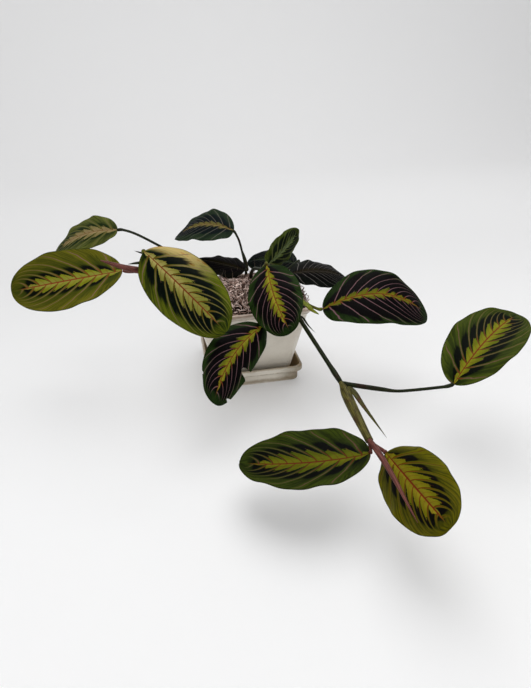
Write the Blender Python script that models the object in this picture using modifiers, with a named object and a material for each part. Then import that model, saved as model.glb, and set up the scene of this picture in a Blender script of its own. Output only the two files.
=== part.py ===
"""Potted prayer plant: a square pot in its saucer, with trailing shoots and patterned leaves.

Origin: centre of the saucer's flat underside. +Z up, pot sides square to X and Y.
Lengths below are in millimetres and become metres where a mesh is made.
"""
import math

import bmesh
import bpy
from mathutils import Vector

MM = 0.001
GAP = 0.3                 # clearance between touching pieces

# Saucer
SAUCER_FOOT = 88.0        # side of the lower part
SAUCER_LIP = 96.0         # side of the thick lip
SAUCER_HEIGHT = 17.5
SAUCER_LIP_LOW = 11.0     # where the lip steps out
SAUCER_FLOOR = 3.0        # floor thickness
SAUCER_INSIDE_LOW = 81.0  # side of the hollow at the floor
SAUCER_INSIDE_TOP = 90.0  # side of the hollow at the lip

# Pot
POT_LOW = SAUCER_FLOOR + GAP
POT_TOP = 82.0
POT_BASE_SIDE = 72.0
POT_BODY_SIDE = 105.0     # side under the rim band
RIM_SIDE = 110.0
RIM_HEIGHT = 5.5
POT_FLOOR = 3.0
INSIDE_LOW = 66.0         # side of the hollow at the pot's floor
INSIDE_TOP = 102.0        # side of the hollow at the rim
CORNER = 9.0              # radius of the upright corners

# Filling
SOIL_TOP = 76.0
MOSS_EDGE = 80.0          # height of the moss at the wall
MOSS_RISE = 9.0           # how far its middle stands above that
MOSS_CELLS = 9            # cells along one side of the moss

# Leaves
LEAF_THICK = 0.8
BASE_HALF = 1.5           # half width of the blunt leaf base
TIP_HALF = 0.7
LEAF_ROWS = 11
LEAF_COLUMNS = 6
PETIOLE_END = 0.8         # distance from petiole to leaf base

# Each blade: base, tip, width, roll about its length (degrees, up-facing at 0),
# arch of the midrib, droop of the margins, sideways bow, twist (degrees), colour name.
LEAVES = {
    "leaf_back_left": ((-116, 8, 152), (-182, 41, 125), 38, -36, 6, 0, 4, 14, "leaf_light"),
    "leaf_far_left": ((-113, -36, 128), (-210, -26, 114), 55, -47, 5, -4, -2, -30, "leaf_light"),
    "leaf_front_left": ((-91, -57, 150), (-34, -120, 100), 54, 48, 3, 9, -1, 17, "leaf_light"),
    "leaf_top": ((-4, 45, 133), (-63, 83, 120), 46, -27, 9, 1, 5, 17, "leaf_dark"),
    "leaf_shade_left": ((3, 24, 97), (-43, 54, 103), 30, -21, 0, 4, 2, 19, "leaf_dark"),
    "leaf_shade_back": ((56, 19, 101), (11, 54, 96), 34, -29, 2, 2, 3, -4, "leaf_dark"),
    "leaf_young": ((20, -14, 114), (59, 20, 136), 24, 69, 2, 4, 1, 8, "leaf_light"),
    "leaf_centre": ((15, -38, 122), (19, -116, 91), 48, 29, 1, 2, 3, 30, "leaf_dark"),
    "leaf_shade_right": ((39, -32, 110), (105, -1, 87), 34, 33, 6, 5, -2, 3, "leaf_dark"),
    "leaf_right": ((61, -64, 85), (164, -66, 69), 60, 34, 17, 3, -11, 9, "leaf_dark"),
    "leaf_hanging": ((2, -83, 84), (-49, -141, 49), 42, -43, 2, 6, 8, 2, "leaf_dark"),
    "leaf_far_right": ((135, -173, 61), (210, -132, 94), 54, 4, 11, -3, 0, 9, "leaf_light"),
    "leaf_low_front": ((51, -219, 45), (-37, -192, 30), 54, -7, 2, -5, -6, 4, "leaf_light"),
    "leaf_low_right": ((61, -222, 46), (63, -304, 61), 45, 45, 1, 5, 0, 0, "leaf_light"),
}

# Woody and green stems: route, radius at its start and end, colour name.
STEMS = {
    "crown": (((22, -12, 66), (22, -12, 82), (22, -13, 99)), 4.6, 3.4, "stem_green"),
    "shoot_left": (((-37, 4, 68), (-38, 3, 88), (-42, -12, 110), (-56, -31, 125), (-88, -49, 133)),
                   2.2, 1.9, "stem_dark"),
    "shoot_right": (((28, -26, 68), (29, -30, 84), (31, -50, 92), (35, -84, 86), (51, -151, 61)),
                    2.2, 1.9, "stem_dark"),
    "shoot_middle": (((10, 28, 68), (9, 24, 90), (9, 0, 106), (13, -20, 112), (14, -27, 116)),
                     2.0, 1.7, "stem_dark"),
    "sheath_right": ((("shoot_right", 1.0), (52, -175, 55), (53, -211, 49.5)), 3.6, 2.4, "stem_green"),
}

# Petioles: leaf they carry, route up to the leaf, radius, length of the joint at the leaf, colour name.
# A route that starts with a name and a share starts on that stem's surface, at that share of its length.
PETIOLES = {
    "petiole_back_left": ("leaf_back_left", (("shoot_left", 0.7), (-76, -13, 138), (-98, 0, 149)),
                          1.3, 5, "stem_dark"),
    "petiole_far_left": ("leaf_far_left", (("shoot_left", 0.98), (-99, -42, 133)), 1.5, 5, "stem_pink"),
    "petiole_front_left": ("leaf_front_left", (("shoot_left", 0.92), (-91, -53, 146)), 1.5, 3, "stem_green"),
    "petiole_top": ("leaf_top", ((6, 40, 68), (6, 40, 92), (1, 41, 122)), 1.3, 4, "stem_dark"),
    "petiole_shade_left": ("leaf_shade_left", (("petiole_top", 0.5),), 1.2, 3, "stem_dark"),
    "petiole_shade_back": ("leaf_shade_back", (("crown", 0.93), (46, 2, 104), (57, 13, 106)),
                           1.2, 3, "stem_dark"),
    "petiole_young": ("leaf_young", (("shoot_middle", 0.88),), 1.2, 2, "stem_green"),
    "petiole_centre": ("leaf_centre", (("shoot_middle", 1.0),), 1.3, 4, "stem_green"),
    "petiole_shade_right": ("leaf_shade_right", (("crown", 0.97), (31, -22, 104)), 1.2, 3, "stem_dark"),
    "petiole_right": ("leaf_right", (("crown", 0.8), (34, -40, 98), (46, -60, 91)), 1.4, 5, "stem_green"),
    "petiole_hanging": ("leaf_hanging", (("crown", 0.92), (14, -45, 100), (8, -70, 92)), 1.3, 4, "stem_dark"),
    "petiole_far_right": ("leaf_far_right", (("sheath_right", 0.12), (92, -166, 56.5), (122, -172, 61)),
                          1.3, 6, "stem_dark"),
    "petiole_low_front": ("leaf_low_front", (("sheath_right", 0.97),), 1.2, 2, "stem_pink"),
    "petiole_low_right": ("leaf_low_right", (("sheath_right", 1.0),), 1.2, 3, "stem_pink"),
}

# Young leaves still rolled up, and the pointed bracts: route, widest radius, colour name.
SPINDLES = {
    "rolled_leaf_right": ((("sheath_right", 0.85), (53, -250, 53), (51, -291, 54)), 2.1, "stem_pink"),
    "rolled_leaf_left": ((("shoot_left", 1.0), (-108, -52, 141), (-127, -48, 142)), 2.2, "stem_pink"),
    "bract_right": ((("sheath_right", 0.2), (60, -180, 56), (68, -207, 46)), 1.4, "stem_green"),
    "bract_left": ((("shoot_left", 0.84), (-92, -50, 146), (-97, -53, 150)), 1.0, "stem_dark"),
    "bract_centre": ((("shoot_right", 0.72), (40, -92, 84), (45, -98, 79)), 1.0, "stem_dark"),
    "sheath_flap": ((("petiole_right", 0.6), (47, -70, 90), (55, -72, 84)), 1.8, "stem_green"),
}

SOCKETED = ("crown", "shoot_left", "shoot_right", "shoot_middle", "petiole_top")

COLOURS = {
    "glaze": ((0.80, 0.78, 0.74), 0.25),
    "soil": ((0.06, 0.04, 0.03), 0.95),
    "moss": ((0.24, 0.18, 0.14), 0.95),
    "leaf_light": ((0.22, 0.32, 0.05), 0.45),
    "leaf_dark": ((0.03, 0.07, 0.03), 0.45),
    "stem_dark": ((0.05, 0.05, 0.03), 0.50),
    "stem_green": ((0.20, 0.26, 0.06), 0.50),
    "stem_pink": ((0.33, 0.14, 0.12), 0.50),
}


def make_collection(name):
    collection = bpy.data.collections.new(name)
    bpy.context.scene.collection.children.link(collection)
    return collection


def make_material(name):
    colour, roughness = COLOURS[name]
    material = bpy.data.materials.get(name) or bpy.data.materials.new(name)
    material.use_nodes = True
    shader = material.node_tree.nodes["Principled BSDF"]
    shader.inputs["Base Color"].default_value = (*colour, 1.0)
    shader.inputs["Roughness"].default_value = roughness
    shader.inputs["Metallic"].default_value = 0.0
    return material


def add_object(name, mesh, collection, colour=None):
    obj = bpy.data.objects.new(name, mesh)
    collection.objects.link(obj)
    if colour:
        mesh.materials.append(make_material(colour))
    return obj


def finish_mesh(bm, name, smooth_angle=40.0):
    bmesh.ops.recalc_face_normals(bm, faces=bm.faces)
    mesh = bpy.data.meshes.new(name)
    bm.to_mesh(mesh)
    bm.free()
    mesh.shade_smooth()
    mesh.set_sharp_from_angle(angle=math.radians(smooth_angle))
    return mesh


def tapered_block(name, low, high, low_side, high_side, corner, segments=4):
    """A square block whose side changes with height, with round upright corners."""
    bm = bmesh.new()
    bmesh.ops.create_cube(bm, size=1.0)
    upright = [e for e in bm.edges if abs(e.verts[0].co.z - e.verts[1].co.z) > 0.5]
    bmesh.ops.bevel(bm, geom=upright, offset=corner / high_side, segments=segments,
                    profile=0.5, affect="EDGES", clamp_overlap=True)
    for vertex in bm.verts:
        is_high = vertex.co.z > 0
        side = high_side if is_high else low_side
        vertex.co.x *= side * MM
        vertex.co.y *= side * MM
        vertex.co.z = (high if is_high else low) * MM
    return finish_mesh(bm, name)


def boolean(obj, other, operation):
    modifier = obj.modifiers.new(operation.lower(), "BOOLEAN")
    modifier.operation = operation
    modifier.solver = "EXACT"
    modifier.object = other


def add_cutter(name, mesh):
    cutter = add_object(name, mesh, CUTTERS)
    cutter.hide_render = True
    cutter.display_type = "WIRE"
    return cutter


def inside_side(z):
    """Side of the pot's hollow at height z."""
    share = (z - POT_LOW - POT_FLOOR) / (POT_TOP - POT_LOW - POT_FLOOR)
    return INSIDE_LOW + (INSIDE_TOP - INSIDE_LOW) * share


def make_saucer():
    foot = tapered_block("saucer", 0, SAUCER_LIP_LOW + 0.5, SAUCER_FOOT, SAUCER_FOOT, CORNER - 2)
    saucer = add_object("saucer", foot, PARTS, "glaze")
    lip = tapered_block("saucer_lip", SAUCER_LIP_LOW, SAUCER_HEIGHT, SAUCER_LIP, SAUCER_LIP, CORNER)
    boolean(saucer, add_cutter("saucer_lip", lip), "UNION")
    above = 1.0
    slope = (SAUCER_INSIDE_TOP - SAUCER_INSIDE_LOW) / (SAUCER_HEIGHT - SAUCER_FLOOR)
    hollow = tapered_block("saucer_hollow", SAUCER_FLOOR, SAUCER_HEIGHT + above, SAUCER_INSIDE_LOW,
                           SAUCER_INSIDE_TOP + slope * above, CORNER - 3)
    boolean(saucer, add_cutter("saucer_hollow", hollow), "DIFFERENCE")


def make_pot():
    rim_low = POT_TOP - RIM_HEIGHT
    body = tapered_block("pot", POT_LOW, rim_low + 0.5, POT_BASE_SIDE, POT_BODY_SIDE, CORNER)
    pot = add_object("pot", body, PARTS, "glaze")
    rim = tapered_block("pot_rim", rim_low, POT_TOP, RIM_SIDE - 1, RIM_SIDE, CORNER)
    boolean(pot, add_cutter("pot_rim", rim), "UNION")
    above = 1.0
    hollow = tapered_block("pot_hollow", POT_LOW + POT_FLOOR, POT_TOP + above, INSIDE_LOW,
                           inside_side(POT_TOP + above), CORNER - 2)
    boolean(pot, add_cutter("pot_hollow", hollow), "DIFFERENCE")


def make_soil():
    low = POT_LOW + POT_FLOOR + GAP
    mesh = tapered_block("soil", low, SOIL_TOP, inside_side(low) - 3 * GAP,
                         inside_side(SOIL_TOP) - 3 * GAP, CORNER - 2)
    return add_object("soil", mesh, PARTS, "soil")


def moss_height(x, y):
    """Top of the moss at (x, y), each from -1 to 1 across the pot."""
    dome = (1 - x ** 4) * (1 - y ** 4)
    lumps = 1.3 * math.sin(7 * x + 1.5) * math.cos(6 * y - 0.4)
    return MOSS_EDGE + MOSS_RISE * dome + lumps * dome


def make_moss():
    low = SOIL_TOP + GAP
    half = inside_side(low) / 2 - 2 * GAP
    bm = bmesh.new()
    bmesh.ops.create_cube(bm, size=2.0)
    bmesh.ops.subdivide_edges(bm, edges=bm.edges, cuts=MOSS_CELLS - 1, use_grid_fill=True)
    for vertex in bm.verts:
        x, y, z = vertex.co
        reach = max(abs(x), abs(y), 0.001)
        length = math.hypot(x, y)
        round_off = 1 - 0.12 * max(0.0, length / reach - 1) * reach
        share = (z + 1) / 2
        top = moss_height(x, y)
        vertex.co = (x * half * round_off * MM, y * half * round_off * MM,
                     (low + (top - low) * share) * MM)
    return add_object("moss", finish_mesh(bm, "moss", 60), PARTS, "moss")


def leaf_frame(leaf):
    """Base, unit length direction, upward normal and sideways direction of a blade."""
    base, tip = Vector(LEAVES[leaf][0]), Vector(LEAVES[leaf][1])
    along = (tip - base).normalized()
    up = (Vector((0, 0, 1)) - along * along.z).normalized()
    return base, along, up, along.cross(up)


def half_outline(u):
    """Half width of a blade at u along its length, as a share of half its full width."""
    return math.sqrt(max(0.0, 4 * u * (1 - u))) * (1 + 0.14 * (0.5 - u))


def blade_point(leaf, u, v):
    """Point of a blade: u runs from base to tip, v from -1 to 1 across it."""
    base, along, up, side = leaf_frame(leaf)
    _, tip, width, roll, arch, droop, bow, twist, _ = LEAVES[leaf]
    length = (Vector(tip) - base).length
    turn = math.radians(roll)
    normal = up * math.cos(turn) + side * math.sin(turn)
    sideways = side * math.cos(turn) - up * math.sin(turn)
    here = math.radians(roll + twist * (u - 0.5))
    normal_here = up * math.cos(here) + side * math.sin(here)
    sideways_here = side * math.cos(here) - up * math.sin(here)
    hump = 4 * u * (1 - u)
    half = max(width / 2 * half_outline(u), BASE_HALF + (TIP_HALF - BASE_HALF) * u)
    point = base + along * length * u + normal * arch * hump + sideways * bow * hump
    point += sideways_here * half * v
    return point - normal_here * droop * v * v * half_outline(u)


def make_leaf(leaf):
    bm = bmesh.new()
    bmesh.ops.create_grid(bm, x_segments=LEAF_ROWS, y_segments=LEAF_COLUMNS, size=1.0)
    for vertex in bm.verts:
        u = (1 - math.cos(math.pi * (vertex.co.x + 1) / 2)) / 2
        vertex.co = blade_point(leaf, u, vertex.co.y) * MM
    obj = add_object(leaf, finish_mesh(bm, leaf, 80), PARTS, LEAVES[leaf][-1])
    modifier = obj.modifiers.new("thickness", "SOLIDIFY")
    modifier.thickness = LEAF_THICK * MM
    modifier.offset = 0.0


def smooth_route(points, steps=3):
    """Catmull-Rom curve through the points, with a few steps between two of them."""
    points = [Vector(p) for p in points]
    ends = [2 * points[0] - points[1]] + points + [2 * points[-1] - points[-2]]
    route = []
    for i in range(1, len(ends) - 2):
        a, b, c, d = ends[i - 1:i + 3]
        for k in range(steps):
            t = k / steps
            route.append(0.5 * (2 * b + (c - a) * t + (2 * a - 5 * b + 4 * c - d) * t * t
                                + (3 * b - a - 3 * c + d) * t ** 3))
    return route + [points[-1]]


def tube_mesh(name, route, radii):
    """A closed tube along a route, made from a bevelled curve and welded at its caps."""
    curve = bpy.data.curves.new(name, "CURVE")
    curve.dimensions = "3D"
    curve.bevel_depth = MM
    curve.bevel_resolution = 2
    curve.use_fill_caps = True
    spline = curve.splines.new("POLY")
    spline.points.add(len(route) - 1)
    for point, place, radius in zip(spline.points, route, radii):
        point.co = (*(Vector(place) * MM), 1.0)
        point.radius = radius
    holder = bpy.data.objects.new(name, curve)
    bpy.context.scene.collection.objects.link(holder)
    depsgraph = bpy.context.evaluated_depsgraph_get()
    mesh = bpy.data.meshes.new_from_object(holder.evaluated_get(depsgraph))
    bpy.data.objects.remove(holder)
    bpy.data.curves.remove(curve)
    bm = bmesh.new()
    bm.from_mesh(mesh)
    bpy.data.meshes.remove(mesh)
    bmesh.ops.remove_doubles(bm, verts=bm.verts, dist=0.00001)
    return finish_mesh(bm, name, 60)


def lerp(a, b, t):
    return a + (b - a) * t


def branch_start(carrier, share, toward, radius):
    """First two points of a branch that leaves a stem square to its surface, or from its end."""
    route, radii = stem_route(carrier)
    step = share * (len(route) - 1)
    i = min(int(step), len(route) - 2)
    here = lerp(route[i], route[i + 1], step - i)
    along = (route[i + 1] - route[i]).normalized()
    if share == 1.0:
        start = here + along * GAP
        return [start, start + along * radius]
    out = Vector(toward) - here
    out = (out - along * out.dot(along)).normalized()
    start = here + out * (lerp(radii[i], radii[i + 1], step - i) + GAP)
    return [start, start + out * radius]


def stem_route(name):
    """Route and radii of a stem, petiole or spindle."""
    ending = []
    if name in STEMS:
        points, first, last, _ = STEMS[name]
    elif name in SPINDLES:
        points, first, _ = SPINDLES[name]
        last = first
    else:
        leaf, points, first, joint, _ = PETIOLES[name]
        base, along, _, _ = leaf_frame(leaf)
        points = (*points, base - along * joint)
        ending = [base - along * PETIOLE_END]
        last = first
    opening = []
    if isinstance(points[0][0], str):
        following = [*points[1:], *ending][0]
        opening, points = branch_start(*points[0], following, first), points[1:]
    route = opening[:1] + smooth_route([*opening[1:], *points]) + ending
    return route, [lerp(first, last, i / (len(route) - 1)) for i in range(len(route))]


def make_stem(name, colour):
    route, radii = stem_route(name)
    add_object(name, tube_mesh(name, route, radii), PARTS, colour)


def make_spindle(name):
    _, radius, colour = SPINDLES[name]
    route, _ = stem_route(name)
    last = len(route) - 1
    radii = [radius * max(0.25, math.sin(math.pi * (0.25 + 0.73 * i / last))) for i in range(last + 1)]
    add_object(name, tube_mesh(name, route, radii), PARTS, colour)


def cut_socket(name, fillings):
    """Cut the way of a stem, a little wider than the stem, through the soil and the moss."""
    route, radii = stem_route(name)
    wide = [r + GAP / math.cos(math.pi / 8) for r in radii]
    start = Vector(route[0]) - (Vector(route[1]) - Vector(route[0])).normalized() * GAP
    cutter = add_cutter("way_" + name, tube_mesh("way_" + name, [start, *route[1:]], wide))
    for filling in fillings:
        boolean(filling, cutter, "DIFFERENCE")


for old in list(bpy.data.objects):
    bpy.data.objects.remove(old)
PARTS = make_collection("potted_prayer_plant")
CUTTERS = make_collection("cutters")

make_saucer()
make_pot()
fillings = [make_soil(), make_moss()]
for stem in STEMS:
    make_stem(stem, STEMS[stem][-1])
for petiole in PETIOLES:
    make_stem(petiole, PETIOLES[petiole][-1])
for leaf in LEAVES:
    make_leaf(leaf)
for spindle in SPINDLES:
    make_spindle(spindle)
for stem in SOCKETED:
    cut_socket(stem, fillings)
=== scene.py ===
import math
import random

import bmesh
import bpy
from mathutils import Euler, Matrix, Vector


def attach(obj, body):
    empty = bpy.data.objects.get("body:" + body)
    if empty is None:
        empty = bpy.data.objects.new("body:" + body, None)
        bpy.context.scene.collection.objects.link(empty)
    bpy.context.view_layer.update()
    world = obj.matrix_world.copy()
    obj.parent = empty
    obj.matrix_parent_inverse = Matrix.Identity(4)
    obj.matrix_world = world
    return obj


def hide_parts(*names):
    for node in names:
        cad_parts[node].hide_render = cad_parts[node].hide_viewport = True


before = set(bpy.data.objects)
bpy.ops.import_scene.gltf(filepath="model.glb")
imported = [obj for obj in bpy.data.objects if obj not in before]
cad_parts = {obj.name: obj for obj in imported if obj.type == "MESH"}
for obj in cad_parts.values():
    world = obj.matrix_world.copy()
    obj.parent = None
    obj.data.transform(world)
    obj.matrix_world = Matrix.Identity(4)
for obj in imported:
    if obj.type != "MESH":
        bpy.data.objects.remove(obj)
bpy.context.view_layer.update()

mm = 0.001
veinStagger = 0.45    # how far the side veins of one half are set off from the other half
weldGap = 0.02 * mm    # points closer than this are joined


# small helpers used by every piece

def deselectAll():
    bpy.ops.object.select_all(action="DESELECT")


def pickOnly(piece):
    deselectAll()
    piece.select_set(True)
    bpy.context.view_layer.objects.active = piece


def applyModifiers(piece):
    pickOnly(piece)
    for modifier in list(piece.modifiers):
        bpy.ops.object.modifier_apply(modifier=modifier.name)


def settle(piece, name, materials, slotName, *nodes):
    # give a finished piece its name, finish and place in the frame
    piece.name = name
    piece.data.name = name
    piece.data.materials.clear()
    for material in materials:
        piece.data.materials.append(material)
    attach(piece, "root")
    if nodes:
        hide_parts(*nodes)


def paint(code, depth=1.0):
    # a colour as it reads on screen, turned into linear light; depth under 1 darkens it
    parts = [int(code[i:i + 2], 16) / 255 for i in (1, 3, 5)]
    linear = [c / 12.92 if c <= 0.04045 else ((c + 0.055) / 1.055) ** 2.4 for c in parts]
    return (*(c * depth for c in linear), 1.0)


def smooth(low, high, value):
    share = min(1.0, max(0.0, (value - low) / (high - low)))
    return share * share * (3 - 2 * share)


def mix(a, b, share):
    return a + (b - a) * share


# node helpers

def newMaterial(name, roughness=0.5, specular=0.5):
    material = bpy.data.materials.new(name)
    material.use_nodes = True
    shader = material.node_tree.nodes["Principled BSDF"]
    shader.inputs["Roughness"].default_value = roughness
    shader.inputs["Specular IOR Level"].default_value = specular
    return material, material.node_tree, shader


def feed(tree, socket, value):
    if isinstance(value, bpy.types.NodeSocket):
        tree.links.new(value, socket)
    else:
        socket.default_value = value


def calc(tree, operation, *values):
    node = tree.nodes.new("ShaderNodeMath")
    node.operation = operation
    for socket, value in zip(node.inputs, values):
        feed(tree, socket, value)
    return node.outputs[0]


def ramp(tree, value, low, high, start=0.0, end=1.0):
    node = tree.nodes.new("ShaderNodeMapRange")
    node.interpolation_type = "SMOOTHSTEP"
    for name, item in (("Value", value), ("From Min", low), ("From Max", high), ("To Min", start),
                       ("To Max", end)):
        feed(tree, node.inputs[name], item)
    return node.outputs[0]


def blendColour(tree, share, first, second):
    node = tree.nodes.new("ShaderNodeMix")
    node.data_type = "RGBA"
    feed(tree, node.inputs[0], share)
    feed(tree, node.inputs[6], first)
    feed(tree, node.inputs[7], second)
    return node.outputs[2]


def splitPlace(tree, place):
    node = tree.nodes.new("ShaderNodeSeparateXYZ")
    tree.links.new(place, node.inputs[0])
    return node.outputs


def joinPlace(tree, x, y, z):
    node = tree.nodes.new("ShaderNodeCombineXYZ")
    for socket, value in zip(node.inputs, (x, y, z)):
        feed(tree, socket, value)
    return node.outputs[0]


def swing(tree, value, reach):
    # a noise from 0 to 1 turned into a swing to both sides of nought
    return calc(tree, "MULTIPLY", calc(tree, "SUBTRACT", value, 0.5), reach)


def under(tree, value, low, high):
    # 1 where the value is below low, 0 where it is above high
    return calc(tree, "SUBTRACT", 1.0, ramp(tree, value, low, high))


def noise(tree, vector, scale, detail=3.0, roughness=0.55):
    node = tree.nodes.new("ShaderNodeTexNoise")
    feed(tree, node.inputs["Vector"], vector)
    feed(tree, node.inputs["Scale"], scale)
    node.inputs["Detail"].default_value = detail
    node.inputs["Roughness"].default_value = roughness
    return node.outputs["Fac"]


def objectPlace(tree):
    return tree.nodes.new("ShaderNodeTexCoord").outputs["Object"]


def uvPlace(tree):
    node = tree.nodes.new("ShaderNodeUVMap")
    node.uv_map = "UVMap"
    return node.outputs[0]


def signedAcross(tree, place):
    # -1 at one margin of a blade, 0 on its midrib, 1 at the other margin
    return calc(tree, "MULTIPLY_ADD", splitPlace(tree, place)[1], 2.0, -1.0)


def bump(tree, shader, height, strength, distance):
    node = tree.nodes.new("ShaderNodeBump")
    feed(tree, node.inputs["Height"], height)
    node.inputs["Strength"].default_value = strength
    node.inputs["Distance"].default_value = distance
    tree.links.new(node.outputs[0], shader.inputs["Normal"])


def newGroup(name, inputs, outputs):
    group = bpy.data.node_groups.new(name, "ShaderNodeTree")
    for label, kind, value in inputs:
        socket = group.interface.new_socket(label, in_out="INPUT", socket_type=kind)
        if value is not None:
            socket.default_value = value
    for label in outputs:
        group.interface.new_socket(label, in_out="OUTPUT", socket_type="NodeSocketFloat")
    return group, group.nodes.new("NodeGroupInput").outputs, group.nodes.new("NodeGroupOutput").inputs


def useGroup(tree, group, values):
    node = tree.nodes.new("ShaderNodeGroup")
    node.node_tree = group
    for label, value in values.items():
        feed(tree, node.inputs[label], value)
    return node.outputs


# camera, floor and light

cameraSetup = {
    "place": (-0.0670, -0.4837, 0.2820),
    "pitch": 28.0,      # degrees down
    "heading": -10.0,   # degrees, left of +Y is positive
    "roll": -1.5,
    "lens": 27.3,
    "sensor": 36,
}

studio = {
    "floorHalf": 1.7,
    "floorStretch": 1.6,    # width of the floor for each unit of its depth
    "bendStart": 1.05,
    "bendRadius": 0.6,
    "bendSteps": 16,
    "wallTop": 1.9,
    "floorColour": "#dcdcdc",
    "wallShade": 0.72,      # share of the floor's brightness left on the wall
    "shadeFrom": -0.45,     # the shade comes in between these two places on Y
    "shadeTo": 0.40, "floorGlow": 0.30, "worldColour": "#f4f5f8",
    "worldStrength": 1.05,
    "keyPlace": (0.25, 0.30, 1.50),
    "keySize": 1.7,
    "keyPower": 18.0,
    "fillPlace": (-0.3, -1.3, 1.0),
    "fillSize": 1.6,
    "fillPower": 8.0,
}


def makeCamera():
    turn = (Matrix.Rotation(math.radians(cameraSetup["heading"]), 4, "Z")
            @ Matrix.Rotation(math.radians(90 - cameraSetup["pitch"]), 4, "X")
            @ Matrix.Rotation(math.radians(cameraSetup["roll"]), 4, "Z"))
    bpy.ops.object.camera_add(location=cameraSetup["place"])
    camera = bpy.context.object
    camera.matrix_world = Matrix.Translation(cameraSetup["place"]) @ turn
    camera.data.lens = cameraSetup["lens"]
    camera.data.sensor_width = cameraSetup["sensor"]
    camera.data.clip_start = 0.01
    bpy.context.scene.camera = camera


def makeStage():
    # one seamless sweep: floor, round bend and wall
    bpy.ops.mesh.primitive_plane_add(size=2, location=(0, 0, 0))
    sweep = bpy.context.object
    sweep.name = "studioSweep"
    bpy.ops.object.mode_set(mode="EDIT")
    bm = bmesh.from_edit_mesh(sweep.data)
    half, back = studio["floorHalf"], studio["bendStart"]
    for vertex in bm.verts:
        vertex.co = (vertex.co.x * half * studio["floorStretch"], back if vertex.co.y > 0 else -half, 0)
    for edge in bm.edges:
        edge.select_set(all(v.co.y > 0 for v in edge.verts))
    bmesh.update_edit_mesh(sweep.data)
    radius, steps = studio["bendRadius"], studio["bendSteps"]
    for step in range(steps):
        a, b = (math.pi / 2 * k / steps for k in (step, step + 1))
        move = (0, radius * (math.sin(b) - math.sin(a)), radius * (math.cos(a) - math.cos(b)))
        bpy.ops.mesh.extrude_region_move(TRANSFORM_OT_translate={"value": move})
    bpy.ops.mesh.extrude_region_move(TRANSFORM_OT_translate={"value": (0, 0, studio["wallTop"])})
    bpy.ops.object.mode_set(mode="OBJECT")
    bpy.ops.object.shade_smooth()
    material, tree, shader = newMaterial("studioPaper", 0.75, 0.2)
    back = ramp(tree, splitPlace(tree, objectPlace(tree))[1], studio["shadeFrom"], studio["shadeTo"])
    for socket, tone in (("Base Color", studio["floorColour"]), ("Emission Color", "#fbfbfc")):
        shaded = blendColour(tree, back, paint(tone), paint(tone, studio["wallShade"]))
        tree.links.new(shaded, shader.inputs[socket])
    shader.inputs["Emission Strength"].default_value = studio["floorGlow"]
    sweep.data.materials.append(material)


def makeLight(name, place, size, power, target=(0, 0, 0.05)):
    bpy.ops.object.light_add(type="AREA", location=place)
    light = bpy.context.object
    light.name = name
    light.data.shape = "DISK"
    light.data.size = size
    light.data.energy = power
    light.rotation_euler = (Vector(target) - Vector(place)).to_track_quat("-Z", "Y").to_euler()


def makeStudio():
    makeCamera()
    makeStage()
    makeLight("keyLight", studio["keyPlace"], studio["keySize"], studio["keyPower"])
    makeLight("fillLight", studio["fillPlace"], studio["fillSize"], studio["fillPower"])
    world = bpy.data.worlds.new("studioAir")
    world.use_nodes = True
    background = world.node_tree.nodes["Background"]
    background.inputs["Color"].default_value = paint(studio["worldColour"])
    background.inputs["Strength"].default_value = studio["worldStrength"]
    bpy.context.scene.world = world
    bpy.context.scene.view_settings.view_transform = "Standard"
    print("studio ready")


# leaf surface pattern, shared by all the blades

veinSweep = 2.0        # how far side veins lean towards the tip
veinPower = 1.45


def veinStart(u, t):
    # where on the midrib the vein through (u, t) leaves it
    lean = veinSweep * max(t, 0.0001) ** veinPower
    return 2 * u / ((1 + lean) + math.sqrt(max(0.0, (1 + lean) ** 2 - 4 * lean * u)))


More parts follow.
